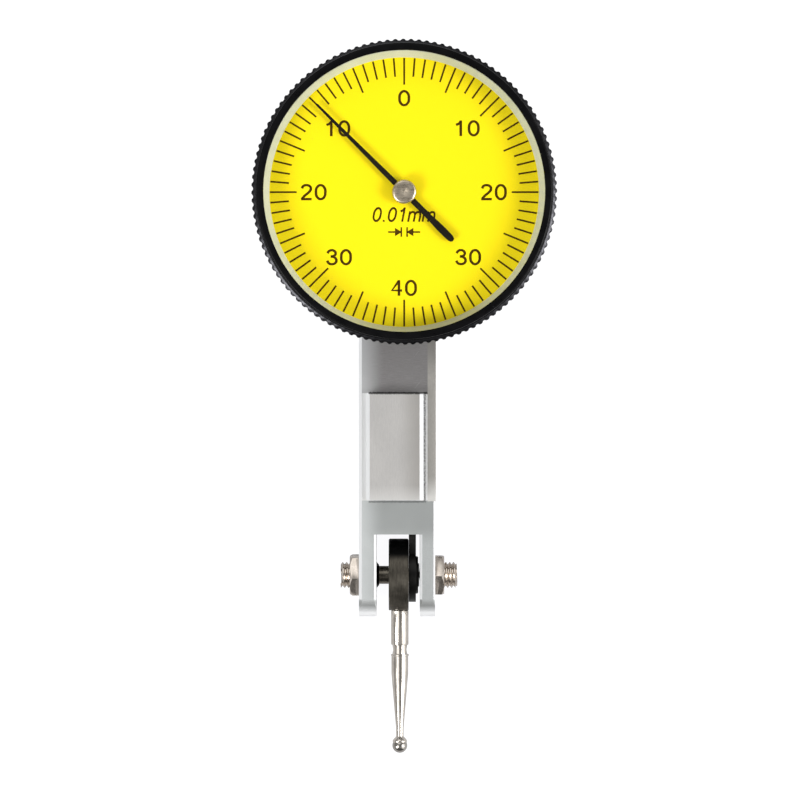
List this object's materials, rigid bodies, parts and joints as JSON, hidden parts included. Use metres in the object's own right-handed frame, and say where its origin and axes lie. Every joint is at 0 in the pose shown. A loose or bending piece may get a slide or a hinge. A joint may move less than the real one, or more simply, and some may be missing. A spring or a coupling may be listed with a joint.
{
  "type": "dial test indicator",
  "caption": "Lever-type dial test indicator with a yellow balanced dial, knurled black bezel, steel body with dovetail rails and a swivelling ball contact point.",
  "frame": {"origin": "where the dial's axis meets the face of the back dovetail rail", "axes": "+Z out of the dial, +Y from the contact point towards the dial end, +X across, along the lever pivot"},
  "size_m": [0.04, 0.0943, 0.022],
  "materials": {
    "satin_steel": "satin chromed, fine ground grain",
    "screw_steel": "turned steel",
    "nickel": "polished nickel plate",
    "blackened_steel": "blackened, semi-matt",
    "dark_steel": "dark oxide on turned steel",
    "brass": "brushed brass",
    "ruby": "polished red stone",
    "spring_steel": "tempered spring steel",
    "black_bezel": "glossy black anodised",
    "window": "clear",
    "seal_rubber": "matt",
    "pale_ring": "pale, semi-matt",
    "yellow_dial": "matt printed",
    "carbide": "polished",
    "black_hand": "matt black"
  },
  "bodies": {
    "frame": {"main_body": "satin_steel", "side_cover": "satin_steel", "side_cover_screws": "screw_steel", "left_pivot_screw": "screw_steel", "right_pivot_screw": "screw_steel", "left_pivot_nut": "nickel", "right_pivot_nut": "nickel", "left_pivot_washer": "blackened_steel", "movement_plate": "brass", "movement_plate_screws": "screw_steel", "center_bridge": "brass", "center_bridge_screws": "screw_steel", "upper_center_jewel": "ruby", "lower_center_jewel": "ruby", "left_crown_jewel": "ruby", "right_crown_jewel": "ruby", "hairspring": "spring_steel", "hairspring_stud": "brass", "bezel_spring": "spring_steel"},
    "bezel": {"bezel_ring": "black_bezel", "crystal": "window", "crystal_seal": "seal_rubber", "dial_ring": "pale_ring", "dial_face": "yellow_dial"},
    "lever": {"lever_arm": "blackened_steel", "sector_gear": "brass", "sector_rivets": "screw_steel", "pivot_shaft": "dark_steel", "clutch_washer": "blackened_steel", "clutch_nut": "blackened_steel"},
    "stylus": {"swivel_disc": "dark_steel", "contact_point": "nickel", "contact_ball": "carbide"},
    "crown": {"crown_arbor": "screw_steel", "crown_gear": "brass"},
    "pointer": {"center_pinion": "screw_steel", "hairspring_collet": "brass", "pointer_hand": "black_hand", "pointer_hub": "nickel"}
  },
  "joints": [
    {"name": "bezel_turn", "type": "hinge", "parent": "frame", "child": "bezel", "pos_m": [0, 0, 0.0187], "axis": [0, 0, 1], "continuous": true},
    {"name": "lever_swing", "type": "hinge", "parent": "frame", "child": "lever", "pos_m": [0, -0.0506, 0.0072], "axis": [1, 0, 0], "range_deg": [-1.3, 1.3], "stiffness_Nm_per_rad": 0.2, "deforming": ["hairspring"]},
    {"name": "stylus_set", "type": "hinge", "parent": "lever", "child": "stylus", "pos_m": [0, -0.0506, 0.0072], "axis": [1, 0, 0], "range_deg": [-120, 120]},
    {"name": "crown_spin", "type": "hinge", "parent": "frame", "child": "crown", "pos_m": [0, 0, 0.0072], "axis": [1, 0, 0], "range_deg": [-46.5, 46.5]},
    {"name": "pointer_spin", "type": "hinge", "parent": "frame", "child": "pointer", "pos_m": [0, 0, 0.0118], "axis": [0, 0, 1], "range_deg": [-235, 235]}
  ],
  "couplings": [
    {"joint": "crown_spin", "follows": "lever_swing", "ratio": -35.143},
    {"joint": "pointer_spin", "follows": "lever_swing", "ratio": -178.64}
  ]
}
